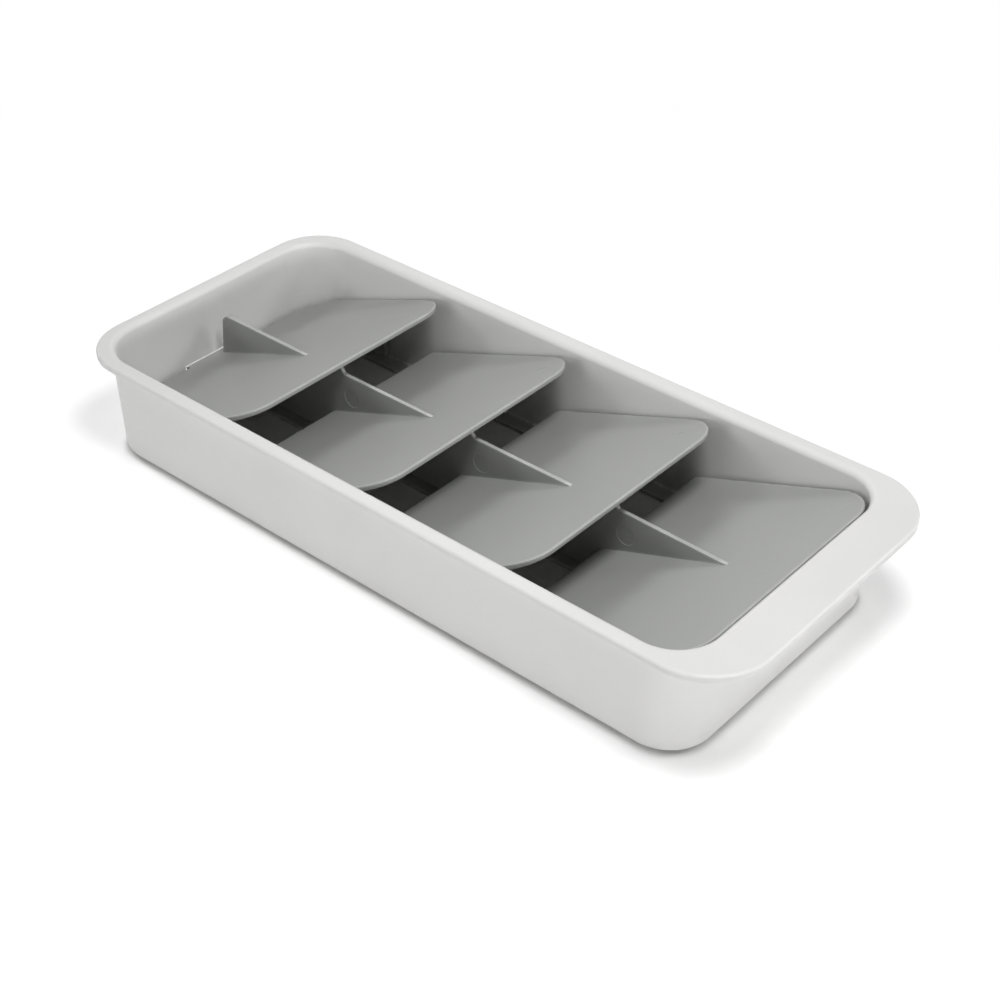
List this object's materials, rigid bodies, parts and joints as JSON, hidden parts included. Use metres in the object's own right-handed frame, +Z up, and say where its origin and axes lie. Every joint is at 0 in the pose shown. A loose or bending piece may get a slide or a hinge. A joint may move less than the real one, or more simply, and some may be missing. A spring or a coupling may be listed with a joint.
{
  "type": "cutlery tray",
  "caption": "Shallow drawer tray with a flanged rim and front handle, holding a lift-out insert of sloping, overlapping shelves split by a centre divider for stacked cutlery.",
  "frame": {"origin": "middle of the tray's length and width, on the surface that its feet stand on", "axes": "+Z up, +Y from the handle to the rear wall along the tray, +X to the right seen from the handle"},
  "size_m": [0.172, 0.4, 0.0596],
  "materials": {
    "tray_plastic": "fine satin mould texture",
    "insert_plastic": "fine satin mould texture",
    "foot_rubber": "matte non-slip rubber"
  },
  "bodies": {
    "tray": {"tray_body": "tray_plastic", "foot_front_left": "foot_rubber", "foot_front_right": "foot_rubber", "foot_rear_left": "foot_rubber", "foot_rear_right": "foot_rubber"},
    "tier_insert": {"tier_1": "insert_plastic", "tier_2": "insert_plastic", "tier_3": "insert_plastic", "tier_4": "insert_plastic", "center_divider": "insert_plastic", "side_rail_left": "insert_plastic", "side_rail_right": "insert_plastic"}
  },
  "joints": [
    {"name": "insert_tilt", "type": "hinge", "parent": "tray", "child": "tier_insert", "pos_m": [0, 0.1926, 0.018], "axis": [-1, 0, 0], "range_deg": [0, 12]}
  ]
}
